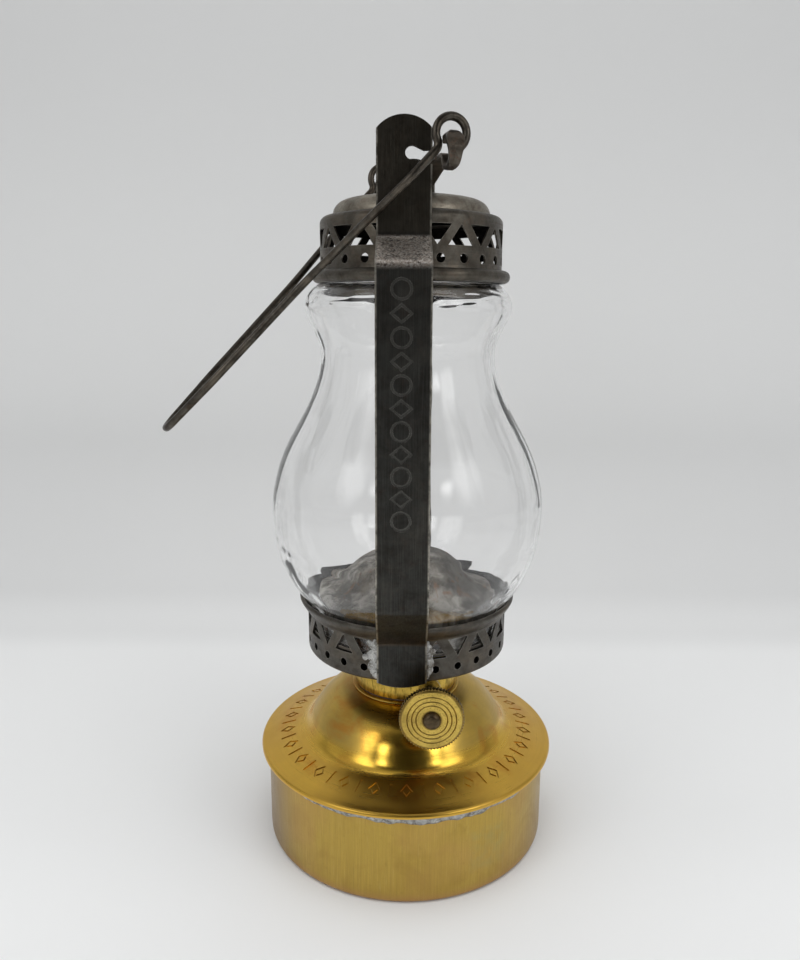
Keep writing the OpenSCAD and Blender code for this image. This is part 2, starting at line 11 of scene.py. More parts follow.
import bmesh
import bpy
import numpy as np
from mathutils import Matrix, Vector, noise
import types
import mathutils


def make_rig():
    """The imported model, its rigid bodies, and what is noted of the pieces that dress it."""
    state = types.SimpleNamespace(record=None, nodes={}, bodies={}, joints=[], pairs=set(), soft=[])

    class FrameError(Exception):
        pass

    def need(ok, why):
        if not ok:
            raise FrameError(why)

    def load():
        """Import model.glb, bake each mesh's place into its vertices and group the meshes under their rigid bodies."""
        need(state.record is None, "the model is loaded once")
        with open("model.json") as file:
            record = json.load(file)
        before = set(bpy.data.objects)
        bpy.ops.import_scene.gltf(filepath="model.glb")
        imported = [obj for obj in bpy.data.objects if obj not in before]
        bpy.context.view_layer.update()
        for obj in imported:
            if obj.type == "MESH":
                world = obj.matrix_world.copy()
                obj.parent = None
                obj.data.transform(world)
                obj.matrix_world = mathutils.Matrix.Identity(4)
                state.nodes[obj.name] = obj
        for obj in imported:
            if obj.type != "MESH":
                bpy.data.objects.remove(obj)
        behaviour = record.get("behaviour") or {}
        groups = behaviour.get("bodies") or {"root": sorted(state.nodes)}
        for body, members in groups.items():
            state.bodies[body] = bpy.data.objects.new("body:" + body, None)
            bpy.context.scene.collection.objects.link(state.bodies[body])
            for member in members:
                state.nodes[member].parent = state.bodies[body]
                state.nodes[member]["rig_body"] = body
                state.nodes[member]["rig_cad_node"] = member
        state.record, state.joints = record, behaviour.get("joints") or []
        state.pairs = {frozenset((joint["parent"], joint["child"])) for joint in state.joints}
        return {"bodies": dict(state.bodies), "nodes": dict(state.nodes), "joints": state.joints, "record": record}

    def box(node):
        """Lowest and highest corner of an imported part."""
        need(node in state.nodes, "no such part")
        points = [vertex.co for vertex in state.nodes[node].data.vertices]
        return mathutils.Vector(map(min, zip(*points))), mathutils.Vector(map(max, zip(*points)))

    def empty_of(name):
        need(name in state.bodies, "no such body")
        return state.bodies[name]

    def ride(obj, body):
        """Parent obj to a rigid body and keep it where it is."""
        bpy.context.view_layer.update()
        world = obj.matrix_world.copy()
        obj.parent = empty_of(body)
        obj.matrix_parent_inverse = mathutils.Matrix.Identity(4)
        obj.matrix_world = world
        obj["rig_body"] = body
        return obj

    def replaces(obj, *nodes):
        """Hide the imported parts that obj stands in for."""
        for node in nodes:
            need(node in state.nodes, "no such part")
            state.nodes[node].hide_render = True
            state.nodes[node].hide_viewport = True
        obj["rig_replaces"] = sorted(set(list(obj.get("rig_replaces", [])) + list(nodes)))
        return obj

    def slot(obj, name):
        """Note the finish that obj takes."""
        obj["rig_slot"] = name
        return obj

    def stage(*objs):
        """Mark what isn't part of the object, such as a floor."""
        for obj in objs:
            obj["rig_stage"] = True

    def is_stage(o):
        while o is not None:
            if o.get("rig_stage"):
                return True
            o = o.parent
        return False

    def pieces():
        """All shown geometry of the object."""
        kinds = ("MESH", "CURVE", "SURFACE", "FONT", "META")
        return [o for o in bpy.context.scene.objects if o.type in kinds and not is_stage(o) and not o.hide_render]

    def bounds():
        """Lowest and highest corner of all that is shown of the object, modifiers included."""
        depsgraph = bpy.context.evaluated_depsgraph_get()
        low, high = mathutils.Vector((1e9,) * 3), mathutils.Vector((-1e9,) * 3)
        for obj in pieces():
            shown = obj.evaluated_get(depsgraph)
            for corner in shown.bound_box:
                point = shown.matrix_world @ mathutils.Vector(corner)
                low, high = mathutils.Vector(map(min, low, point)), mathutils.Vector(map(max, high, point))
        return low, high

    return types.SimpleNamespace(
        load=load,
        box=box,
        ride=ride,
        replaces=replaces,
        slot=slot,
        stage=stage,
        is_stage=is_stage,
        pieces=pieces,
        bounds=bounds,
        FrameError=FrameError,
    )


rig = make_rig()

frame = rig.load()
cad_box = [list(map(float, corner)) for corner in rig.bounds()]
scene = bpy.context.scene

MM = 0.001
FONT_RADIUS = 38.0      # outside of the font's wall
BAND_RADIUS = 26.6      # band that the straps' feet are soldered to
STRAP_HALF = 6.0        # half a strap's width
STRAP_SHIFT = 1.3       # the front strap sits this far towards -X, the back one towards +X
WEAVE = 7.8             # wick weave, radians per mm


# ------------------------------------------------------------------ helpers
def link(obj):
    scene.collection.objects.link(obj)
    return obj


def new_mesh(name, verts, faces):
    mesh = bpy.data.meshes.new(name)
    mesh.from_pydata(verts, [], faces)
    mesh.update()
    mesh.polygons.foreach_set("use_smooth", [True] * len(mesh.polygons))
    return link(bpy.data.objects.new(name, mesh))


def ring_mesh(name, verts, rows, columns):
    """A grid of quads closed on itself both ways, with its normals facing out."""
    faces = []
    for i in range(rows):
        row, after = i * columns, (i + 1) % rows * columns
        for k in range(columns):
            l = (k + 1) % columns
            faces.append((row + k, after + k, after + l, row + l))
    obj = new_mesh(name, verts, faces)
    bm = bmesh.new()
    bm.from_mesh(obj.data)
    bmesh.ops.recalc_face_normals(bm, faces=bm.faces)
    bm.to_mesh(obj.data)
    bm.free()
    return obj


def box_mm(node):
    low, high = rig.box(node)
    return low * 1000, high * 1000


def around_axis(radius, angle, z):
    """A point in metres; angle 0 is the front and grows towards +X."""
    return (radius * math.sin(angle) * MM, -radius * math.cos(angle) * MM, z * MM)


def clamp(value):
    return max(0.0, min(1.0, value))


def shade(color, factor):
    return tuple(c * factor for c in color)


class Graph:
    """Writes nodes into a node tree. Values may be numbers, tuples or sockets."""

    def __init__(self, tree):
        self.tree = tree
        tree.nodes.clear()

    def feed(self, socket, value):
        if isinstance(value, bpy.types.NodeSocket):
            self.tree.links.new(value, socket)
        elif isinstance(value, tuple) and len(value) == 3 and socket.type == "RGBA":
            socket.default_value = (*value, 1.0)
        else:
            socket.default_value = value

    def node(self, kind, inputs=None, **settings):
        node = self.tree.nodes.new(kind)
        for key, value in settings.items():
            setattr(node, key, value)
        for key, value in (inputs or {}).items():
            self.feed(node.inputs[key], value)
        return node

    def math(self, operation, *values, clamp=False):
        return self.node("ShaderNodeMath", dict(enumerate(values)),
                         operation=operation, use_clamp=clamp).outputs[0]

    def add(self, a, b, clamp=False):
        return self.math("ADD", a, b, clamp=clamp)

    def sub(self, a, b):
        return self.math("SUBTRACT", a, b)

    def mul(self, a, b, clamp=False):
        return self.math("MULTIPLY", a, b, clamp=clamp)

    def length(self, a, b):
        return self.math("SQRT", self.add(self.mul(a, a), self.mul(b, b)))

    def vector(self, operation, *vectors):
        node = self.node("ShaderNodeVectorMath", dict(enumerate(vectors)), operation=operation)
        return node.outputs["Value" if operation in ("DOT_PRODUCT", "DISTANCE") else "Vector"]

    def ramp(self, value, span, to=(0.0, 1.0), ease=False):
        """Maps span onto to, clamped; span may run downwards."""
        node = self.node("ShaderNodeMapRange", dict(enumerate((value, *span, *to))), clamp=True)
        if ease:
            node.interpolation_type = "SMOOTHSTEP"
        return node.outputs[0]

    def band(self, value, rise, fall, ease=False):
        """1 between two limits; rise and fall each run from 0 to 1."""
        return self.mul(self.ramp(value, rise, ease=ease), self.ramp(value, fall, ease=ease))


class Material(Graph):
    """A principled material. Coordinates and texture scales are in millimetres."""

    INPUTS = dict(color="Base Color", rough="Roughness", metal="Metallic", normal="Normal",
                  spec="Specular IOR Level", ior="IOR", trans="Transmission Weight",
                  sheen="Sheen Weight")

    def __init__(self, name):
        self.data = bpy.data.materials.new(name)
        self.data.use_nodes = True
        super().__init__(self.data.node_tree)
        self.shader = self.node("ShaderNodeBsdfPrincipled")
        self.output = self.node("ShaderNodeOutputMaterial", {"Surface": self.shader.outputs[0]})

    @cached_property
    def point(self):
        here = self.node("ShaderNodeTexCoord").outputs["Object"]
        scaled = self.node("ShaderNodeVectorMath", operation="SCALE")
        self.feed(scaled.inputs[0], here)
        self.feed(scaled.inputs["Scale"], 1000.0)
        return scaled.outputs["Vector"]

    @cached_property
    def axes(self):
        return tuple(self.node("ShaderNodeSeparateXYZ", {0: self.point}).outputs)

    x = property(lambda self: self.axes[0])
    y = property(lambda self: self.axes[1])
    z = property(lambda self: self.axes[2])

    def set(self, **values):
        """Feeds the shader's inputs and remembers the values as attributes."""
        for name, value in values.items():
            self.feed(self.shader.inputs[self.INPUTS[name]], value)
            setattr(self, name, value)

    def paint(self, mask, tint, amount=None):
        """Lays a tint over the colour so far."""
        factor = mask if amount is None else self.mul(mask, amount)
        self.set(color=self.mix(factor, self.color, tint))

    def mix(self, factor, a, b):
        return self.node("ShaderNodeMix", {0: factor, 6: a, 7: b}, data_type="RGBA").outputs[2]

    def xyz(self, x, y, z):
        return self.node("ShaderNodeCombineXYZ", {0: x, 1: y, 2: z}).outputs[0]

    def radius(self):
        return self.length(self.x, self.y)

    def wrap(self, radius, out, around, up):
        """Coordinates round the axis; out, around and up set the detail each way."""
        away = self.radius()
        angle = self.math("ARCTAN2", self.x, self.mul(self.y, -1.0))
        along = self.mul(self.math("COSINE", angle), radius * around)
        across = self.mul(self.math("SINE", angle), radius * around)
        return self.xyz(self.add(along, self.mul(away, out)), across, self.mul(self.z, up))

    def stretch(self, x, y, z):
        return self.vector("MULTIPLY", self.point, (x, y, z))

    def noise(self, scale, detail=4, rough=0.55, warp=0.0, at=None):
        inputs = {"Vector": self.point if at is None else at, "Scale": scale,
                  "Detail": detail, "Roughness": rough, "Distortion": warp}
        return self.node("ShaderNodeTexNoise", inputs).outputs[0]

    def cells(self, scale):
        inputs = {"Vector": self.point, "Scale": scale}
        return self.node("ShaderNodeTexVoronoi", inputs, feature="F1").outputs["Distance"]

    def rounded(self, radius, samples):
        return self.node("ShaderNodeBevel", {"Radius": radius * MM}, samples=samples).outputs[0]

    def edge(self, radius, gain=5.0):
        """1 on sharp edges, 0 on flats."""
        normal = self.node("ShaderNodeNewGeometry").outputs["Normal"]
        match = self.vector("DOT_PRODUCT", self.rounded(radius, samples=4), normal)
        return self.mul(self.sub(1.0, match), gain, clamp=True)

    def inward(self, center_x):
        """1 where a face looks at the axis through center_x, 0 where it looks out."""
        normal = self.node("ShaderNodeNewGeometry").outputs["True Normal"]
        away = self.vector("NORMALIZE", self.xyz(self.sub(self.x, center_x), self.y, 0.0))
        return self.ramp(self.vector("DOT_PRODUCT", away, normal), (-0.15, -0.4))

    def bump(self, height, strength, depth, over=None):
        inputs = {"Strength": strength, "Distance": depth * MM, "Height": height}
        if over is not None:
            inputs["Normal"] = over
        return self.node("ShaderNodeBump", inputs).outputs[0]


# ------------------------------------------------------------------ brass
def brass(name, color, dark, rough, brush=None, tarnish=0.35, pits=0.0, edge=0.0):
    """Brushed or spun brass with dark tarnish, and pits and bright edges if asked for."""
    mat = Material(name)
    if brush == "up":
        at = mat.wrap(FONT_RADIUS, out=0.0, around=8.0, up=0.10)
        fine = mat.noise(1.0, detail=3, rough=0.65, at=at)
        at = mat.wrap(FONT_RADIUS, out=0.0, around=2.2, up=0.06)
        wide = mat.noise(1.0, rough=0.7, at=at)
    elif brush == "round":
        at = mat.wrap(30, out=6.0, around=0.02, up=6.0)
        fine = mat.noise(1.0, detail=3, rough=0.6, at=at)
        at = mat.wrap(30, out=1.2, around=0.03, up=1.2)
        wide = mat.noise(1.0, detail=3, rough=0.6, at=at)
    else:
        fine = mat.noise(4.0, detail=3, rough=0.6)
        wide = mat.noise(0.8, detail=3, rough=0.6)
    blots = mat.noise(0.09, detail=5, rough=0.6, warp=0.6)
    spots = mat.ramp(mat.noise(0.55, detail=6, rough=0.7, warp=0.3), (0.60, 0.74))
    mat.set(color=mat.mix(mat.ramp(wide, (0.35, 0.65)), color, shade(color, 0.86)))
    mat.paint(mat.ramp(blots, (0.45, 0.75)), dark, tarnish)
    mat.paint(spots, shade(dark, 0.6), tarnish * 0.7)
    brushed = mat.ramp(fine, (0.3, 0.7), rough)
    blotted = mat.mul(mat.ramp(blots, (0.45, 0.75)), 0.10)
    normal = mat.bump(fine, strength=0.10, depth=0.03)
    dents = mat.noise(0.12, detail=3, rough=0.5)
    normal = mat.bump(dents, strength=0.20, depth=0.35, over=normal)
    if pits:
        pit = mat.ramp(mat.cells(1.3), (0.05, 0.22))
        where = mat.ramp(mat.noise(0.35, detail=3, rough=0.6), (0.45, 0.6))
        height = mat.sub(1.0, mat.mul(mat.sub(1.0, pit), where))
        normal = mat.bump(height, strength=pits, depth=0.08, over=normal)
        mat.paint(mat.sub(1.0, height), dark, 0.7)
    if edge:
        worn = tuple(min(1, c * 1.25 + 0.06) for c in color)
        mat.paint(mat.edge(0.35), worn, edge)
    mat.set(metal=1.0, rough=mat.add(brushed, blotted), normal=normal)
    return mat


def brass_wall():
    """Font wall: brushed up and down, browner towards the foot and the lip."""
    mat = brass("brass_wall", color=(0.565, 0.385, 0.088), dark=(0.36, 0.21, 0.055),
                rough=(0.24, 0.42), brush="up", tarnish=0.45)
    foot = mat.ramp(mat.z, (3.5, 0.0), (0.0, 0.75), ease=True)
    lip = mat.ramp(mat.z, (20.5, 24.0), (0.0, 0.5), ease=True)
    mat.paint(mat.math("MAXIMUM", foot, lip), (0.50, 0.27, 0.11))
    at = mat.wrap(FONT_RADIUS, out=0.0, around=3.0, up=0.08)
    lines = mat.ramp(mat.noise(1.0, detail=5, rough=0.75, at=at), (0.50, 0.72))
    mat.paint(lines, (0.36, 0.23, 0.07), 0.38)
    at = mat.wrap(FONT_RADIUS, out=0.0, around=5.0, up=0.12)
    bright = mat.ramp(mat.noise(1.0, detail=3, rough=0.7, at=at), (0.60, 0.72))
    mat.paint(bright, (0.78, 0.60, 0.24), 0.35)
    # greenish patch at the front, on the +X side
    patch = mat.mul(mat.band(mat.x, rise=(14.5, 16.5), fall=(26.0, 23.5), ease=True),
                    mat.band(mat.z, rise=(5.0, 7.5), fall=(18.5, 16.0), ease=True))
    ragged = mat.ramp(mat.noise(0.30, detail=5, rough=0.7), (0.38, 0.66), (0.0, 0.42))
    ragged = mat.mul(mat.ramp(mat.y, (0, -4)), ragged)
    mat.paint(mat.mul(patch, ragged), (0.40, 0.36, 0.14))
    clouds = mat.noise(0.06, detail=3, rough=0.5, warp=0.4)
    mat.paint(mat.ramp(clouds, (0.48, 0.66)), (0.54, 0.31, 0.115), 0.30)
    # painted shade: both sides darken where the wall turns away from the light
    left = mat.ramp(mat.x, (-26.0, -36.5), (0, 0.85), ease=True)
    right = mat.ramp(mat.x, (30.0, 37.5), (0, 0.35), ease=True)
    mat.paint(mat.math("MAXIMUM", left, right), (0.29, 0.18, 0.075))
    mat.paint(0.07, (0.05, 0.08, 0.04))
    return mat


def brass_top():
    """Spun top of the font, polished near the middle and duller outside."""
    mat = brass("brass_top", color=(0.84, 0.53, 0.075), dark=(0.40, 0.17, 0.03),
                rough=(0.11, 0.21), brush="round", tarnish=0.35, edge=0.4)
    radius = mat.radius()
    duller = mat.ramp(radius, (26.0, 31.0), ease=True)
    stains = mat.noise(0.12, detail=5, rough=0.65, warp=0.5)
    stains = mat.mul(duller, mat.ramp(stains, (0.30, 0.62), (0.55, 0.95)))
    mat.paint(stains, (0.66, 0.395, 0.07))
    # tarnish haze, with painted shade that darkens the -X and +X flanks and the upper dome as seen from the front
    sideways = mat.math("DIVIDE", mat.math("ABSOLUTE", mat.x), mat.math("MAXIMUM", radius, 1.0))
    flanks = mat.mul(mat.ramp(sideways, (0.30, 0.62), ease=True),
                     mat.ramp(mat.z, (30.2, 32.8), ease=True))
    uneven = mat.noise(0.11, rough=0.6, warp=0.4)
    haze_and_shade = mat.mul(flanks, mat.ramp(uneven, (0.25, 0.62), (0.55, 1.0)))
    upper = mat.mul(mat.ramp(mat.z, (36.0, 38.5), (0, 0.6), ease=True),
                    mat.ramp(sideways, (0.1, 0.3)))
    haze_and_shade = mat.math("MAXIMUM", haze_and_shade, upper)
    mat.paint(haze_and_shade, (0.52, 0.355, 0.088))
    reddish = mat.noise(0.10, rough=0.6, warp=0.8)
    reddish = mat.mul(mat.ramp(radius, (37.0, 34.0)), mat.ramp(reddish, (0.52, 0.68), (0, 0.6)))
    mat.paint(reddish, (0.55, 0.22, 0.03))
    rough = mat.add(mat.rough, mat.mul(haze_and_shade, 0.24))
    mat.set(rough=mat.add(rough, mat.mul(duller, 0.15)))
    return mat


def brass_burner():
    """Pitted burner brass with dark streaks running down."""
    mat = brass("brass_burner", color=(0.72, 0.50, 0.10), dark=(0.20, 0.13, 0.025),
                rough=(0.26, 0.42), tarnish=0.7, pits=0.7, edge=0.4)
    at = mat.wrap(14, out=0.0, around=1.1, up=0.28)
    mat.paint(mat.ramp(mat.noise(1.0, rough=0.7, at=at), (0.48, 0.62)),
              (0.17, 0.115, 0.02), 0.75)
    return mat


def brass_knob():
    """Wick knob, facing along Y, with grime at its rim, its hub and in three rings."""
    low, high = box_mm("wick_knob")
    mat = brass("brass_knob", color=(0.70, 0.50, 0.115), dark=(0.12, 0.06, 0.02),
                rough=(0.30, 0.44), tarnish=0.45, pits=0.9, edge=0.35)
    radius = mat.length(mat.sub(mat.x, (low.x + high.x) / 2),
                        mat.sub(mat.z, (low.z + high.z) / 2))
    specks = mat.ramp(mat.noise(2.4, detail=5, rough=0.75), (0.55, 0.66))
    mat.paint(specks, (0.13, 0.075, 0.02), 0.75)
    for ring in (3.7, 4.7, 5.8):
        distance = mat.math("ABSOLUTE", mat.sub(radius, ring))
        mat.paint(mat.ramp(distance, (0.22, 0.10)), (0.17, 0.10, 0.03), 0.45)
    rim = mat.ramp(radius, (6.85, 7.3), (0, 0.75), ease=True)
    hub = mat.ramp(radius, (2.7, 2.2), (0, 0.8), ease=True)
    mat.paint(mat.math("MAXIMUM", rim, hub), (0.13, 0.075, 0.025))
    return mat


# ------------------------------------------------------------------ solder and leather
def solder():
    """Dull, lumpy tin."""
    mat = Material("solder")
    lumps = mat.noise(0.9, detail=6, rough=0.65, warp=0.4)
    grain = mat.noise(3.0, detail=5, rough=0.6)
    mat.set(color=mat.mix(mat.ramp(lumps, (0.35, 0.68)), (0.30, 0.30, 0.29), (0.62, 0.62, 0.60)))
    mat.paint(mat.ramp(grain, (0.58, 0.74)), (0.14, 0.12, 0.10), 0.6)
    stains = mat.noise(0.75, detail=5, rough=0.7, warp=0.6)
    mat.paint(mat.ramp(stains, (0.50, 0.60)), (0.13, 0.115, 0.095), 0.8)
    height = mat.add(lumps, mat.mul(grain, 0.4))
    mat.set(metal=0.85, rough=mat.ramp(lumps, (0.3, 0.7), (0.55, 0.38)),
            normal=mat.bump(height, strength=0.55, depth=0.2))
    return mat


def gasket():
    """Oiled leather."""
    mat = Material("gasket_leather")
    grain = mat.cells(2.6)
    clouds = mat.ramp(mat.noise(0.7), (0.3, 0.7))
    mat.set(color=mat.mix(clouds, (0.055, 0.03, 0.017), (0.12, 0.07, 0.04)),
            rough=mat.ramp(grain, (0.0, 0.4), (0.7, 0.5)),
            normal=mat.bump(grain, strength=0.4, depth=0.1))
    return mat


# ------------------------------------------------------------------ steel
def steel(name, color, mottle, bloom, rough, scale, rust, scratch=None, edge=0.0,
          edge_color=(0.42, 0.40, 0.36), relief=0.3, soot=None, soften=0.0, rust_dulls=True):
    """Mottled steel. soot is the x of the axis whose inward faces are blackened, soften the
    radius its edges are rounded to, and rust_dulls takes metal away under the rust."""
    mat = Material(name)
    blots = mat.noise(scale, detail=6, rough=0.62, warp=0.5)
    grain = mat.noise(scale * 4.3, detail=5, rough=0.65, warp=0.2)
    clouds = mat.noise(scale * 0.3, rough=0.6, warp=0.8)
    mat.set(color=mat.mix(mat.ramp(blots, (0.38, 0.66)), color, mottle))
    mat.paint(mat.ramp(clouds, (0.5, 0.72)), bloom, 0.8)
    mat.paint(mat.ramp(grain, (0.55, 0.75)), shade(color, 0.55), 0.35)
    rusty = mat.noise(scale * 1.7, detail=6, rough=0.7, warp=1.0)
    rusty = mat.mul(mat.ramp(rusty, (0.52, 0.68)), rust)
    mat.paint(rusty, (0.16, 0.055, 0.02))
    roughness = mat.ramp(grain, (0.3, 0.7), rough)
    height = grain
    if scratch:
        if scratch == "up":
            at, depth = mat.stretch(7.0, 7.0, 0.12), 0.6
        else:
            at, depth = mat.wrap(25, out=5.0, around=0.04, up=5.0), 0.5
        lines = mat.noise(1.0, detail=2, rough=0.5, at=at)
        roughness = mat.add(roughness, mat.ramp(lines, (0.35, 0.65), (-0.07, 0.07)))
        height = mat.add(grain, mat.mul(lines, depth))
    if edge:
        broken = mat.ramp(mat.noise(0.9, rough=0.7), (0.35, 0.6))
        mat.paint(mat.mul(mat.edge(0.3), broken), edge_color, edge)
    if soot is not None:
        inner = mat.inward(soot)
        mat.paint(inner, (0.016, 0.014, 0.012), 0.92)
        roughness = mat.add(roughness, mat.mul(inner, 0.3), clamp=True)
    over = mat.rounded(soften, samples=8) if soften else None
    mat.set(rough=mat.add(roughness, mat.mul(rusty, 0.3), clamp=True),
            normal=mat.bump(height, strength=relief, depth=0.06, over=over))
    if rust_dulls:
        mat.set(metal=mat.sub(1.0, mat.mul(rusty, 0.8)))
    return mat


def add_strap_wear(mat):
    """Blooms at the shoulder and foot bend, worn long edges and brush lines."""
    bloom = mat.band(mat.z, rise=(149.2, 151.2), fall=(157.4, 156.2), ease=True)
    crust = mat.noise(1.1, detail=6, rough=0.7)
    pale = mat.mix(mat.ramp(mat.noise(2.2, rough=0.6), (0.42, 0.62)),
                   (0.60, 0.50, 0.42), (1.0, 0.95, 0.88))
    mat.paint(bloom, pale, mat.ramp(crust, (0.30, 0.50)))
    foot = mat.band(mat.z, rise=(62.4, 63.2), fall=(66.4, 63.4), ease=True)
    uneven = mat.ramp(mat.noise(0.5, detail=5, rough=0.6), (0.35, 0.6), (0.25, 0.60))
    mat.paint(foot, (0.125, 0.095, 0.070), uneven)
    mat.paint(mat.ramp(mat.z, (156.5, 158.5), (0, 0.55), ease=True), (0.050, 0.040, 0.027))
    # distance from the strap's own centre line
    facing = mat.math("SIGN", mat.mul(mat.y, -1.0))
    across = mat.math("ABSOLUTE", mat.add(mat.x, mat.mul(facing, STRAP_SHIFT)))
    broken = mat.ramp(mat.noise(0.40, detail=5, rough=0.7), (0.34, 0.56), (0.15, 1.0))
    mat.paint(mat.mul(mat.ramp(across, (5.50, 5.80)), broken), (0.46, 0.43, 0.37), 0.9)
    brush = mat.noise(1.0, rough=0.7, at=mat.stretch(5.5, 1.0, 0.10))
    mat.paint(mat.ramp(brush, (0.48, 0.72)), (0.092, 0.091, 0.083), 0.40)
    mat.paint(mat.ramp(brush, (0.48, 0.26)), (0.020, 0.019, 0.017), 0.40)
    # lighter groove in the front strap
    groove = mat.mul(mat.band(mat.y, rise=(-37.27, -37.2), fall=(-30, -36)),
                     mat.band(mat.z, rise=(90, 92), fall=(149, 148)))
    limits = mat.mul(mat.ramp(across, (5.9, 5.6)), mat.ramp(mat.y, (-36.6, -36.9)))
    mat.paint(mat.mul(groove, limits), (0.125, 0.122, 0.112), 0.60)
    mat.set(normal=mat.bump(mat.mul(crust, bloom), strength=0.8, depth=0.12, over=mat.normal))


def add_deflector_scale(mat):
    """Cream and brown heat scale."""
    cream = mat.mul(mat.ramp(mat.noise(0.16, detail=8, rough=0.72), (0.44, 0.62)),
                    mat.ramp(mat.noise(0.06, detail=3, rough=0.5), (0.42, 0.58), (0.15, 1.0)))
    mat.paint(cream, (0.55, 0.52, 0.47), 0.72)
    brown = mat.noise(0.23, detail=6, rough=0.68, warp=0.8)
    mat.paint(mat.ramp(brown, (0.57, 0.66)), (0.20, 0.10, 0.05), 0.7)
    mat.set(metal=mat.sub(1.0, mat.mul(cream, 0.7)))


STEELS = {
    "steel_shaft": dict(
        color=(0.115, 0.085, 0.05), mottle=(0.055, 0.04, 0.024), bloom=(0.15, 0.11, 0.06),
        rough=(0.30, 0.48), scale=0.9, rust=0.25, edge=0.2),
    "steel_gallery": dict(
        color=(0.105, 0.098, 0.085), mottle=(0.06, 0.053, 0.045), bloom=(0.15, 0.125, 0.095),
        rough=(0.34, 0.55), scale=0.30, rust=0.10, scratch="round", edge=0.75, soot=0.0),
    "steel_strap": dict(
        color=(0.046, 0.046, 0.042), mottle=(0.030, 0.028, 0.025), bloom=(0.066, 0.062, 0.054),
        rough=(0.36, 0.55), scale=0.30, rust=0.05, scratch="up", edge=0.5),
    "steel_cap": dict(
        color=(0.125, 0.115, 0.097), mottle=(0.07, 0.06, 0.048), bloom=(0.165, 0.14, 0.108),
        rough=(0.36, 0.56), scale=0.33, rust=0.12, scratch="round", edge=0.7,
        edge_color=(0.40, 0.38, 0.33), soot=0.6),
    "steel_crown": dict(
        color=(0.27, 0.25, 0.205), mottle=(0.16, 0.135, 0.105), bloom=(0.36, 0.325, 0.265),
        rough=(0.34, 0.55), scale=0.42, rust=0.25, scratch="round", edge=0.5,
        edge_color=(0.45, 0.41, 0.34), soot=0.6),
    "steel_rivet": dict(
        color=(0.16, 0.13, 0.11), mottle=(0.08, 0.06, 0.05), bloom=(0.20, 0.15, 0.11),
        rough=(0.40, 0.6), scale=0.8, rust=0.5, edge=0.6),
    "steel_spring": dict(
        color=(0.125, 0.11, 0.092), mottle=(0.055, 0.045, 0.035), bloom=(0.18, 0.145, 0.11),
        rough=(0.30, 0.52), scale=0.55, rust=0.40, edge=0.35, soften=0.42),
    "steel_wire": dict(
        color=(0.105, 0.095, 0.08), mottle=(0.05, 0.043, 0.035), bloom=(0.15, 0.128, 0.10),
        rough=(0.27, 0.45), scale=0.5, rust=0.12, relief=0.2),
    "steel_deflector": dict(
        color=(0.12, 0.112, 0.098), mottle=(0.055, 0.048, 0.04), bloom=(0.17, 0.14, 0.10),
        rough=(0.50, 0.72), scale=0.22, rust=0.2, edge=0.4, rust_dulls=False),
}
STEEL_EXTRAS = {"steel_strap": add_strap_wear, "steel_deflector": add_deflector_scale}


# ------------------------------------------------------------------ glass and cotton
def glass():
    """Clear glass whose shadow lets light through, so the burner inside stays lit."""
    mat = Material("glass")
    swell = mat.noise(0.05, detail=2, rough=0.4, warp=0.3)
    at = mat.wrap(30, out=0.0, around=0.09, up=0.02)
    streaks = mat.noise(1.0, detail=2, rough=0.5, at=at)
    height = mat.add(swell, mat.mul(streaks, 0.8))
    mat.set(color=(1.0, 1.0, 1.0), trans=1.0, ior=1.42, rough=0.008,
            normal=mat.bump(height, strength=0.35, depth=1.1))
    ray = mat.node("ShaderNodeLightPath").outputs
    clear = mat.node("ShaderNodeBsdfTransparent", {0: (0.965, 0.975, 0.97)})
    passing = mat.math("MAXIMUM", ray["Is Shadow Ray"], mat.mul(ray["Is Diffuse Ray"], 0.9))
    both = mat.node("ShaderNodeMixShader",
                    {0: passing, 1: mat.shader.outputs[0], 2: clear.outputs[0]})
    mat.feed(mat.output.inputs["Surface"], both.outputs[0])
    return mat


def wick_cotton():
    """Woven cotton, charred at the burning end."""
    mat = Material("wick_cotton")
    weave = mat.mul(mat.math("SINE", mat.mul(mat.y, WEAVE)),
                    mat.math("SINE", mat.mul(mat.z, WEAVE)))
    mat.set(color=mat.mix(mat.ramp(weave, (-0.6, 0.8)), (0.50, 0.43, 0.30), (0.80, 0.74, 0.60)))
    mat.paint(mat.ramp(mat.noise(0.5, detail=5, rough=0.6), (0.4, 0.7)), (0.48, 0.38, 0.24))
    ragged = mat.ramp(mat.noise(0.8), (0, 1), (-1.5, 1.5))
    mat.paint(mat.ramp(mat.add(mat.z, ragged), (70.5, 73.5)), (0.018, 0.015, 0.013))
    height = mat.add(weave, mat.noise(3.0, detail=3))
    mat.set(rough=0.95, sheen=0.4, normal=mat.bump(height, strength=0.6, depth=0.12))
    return mat


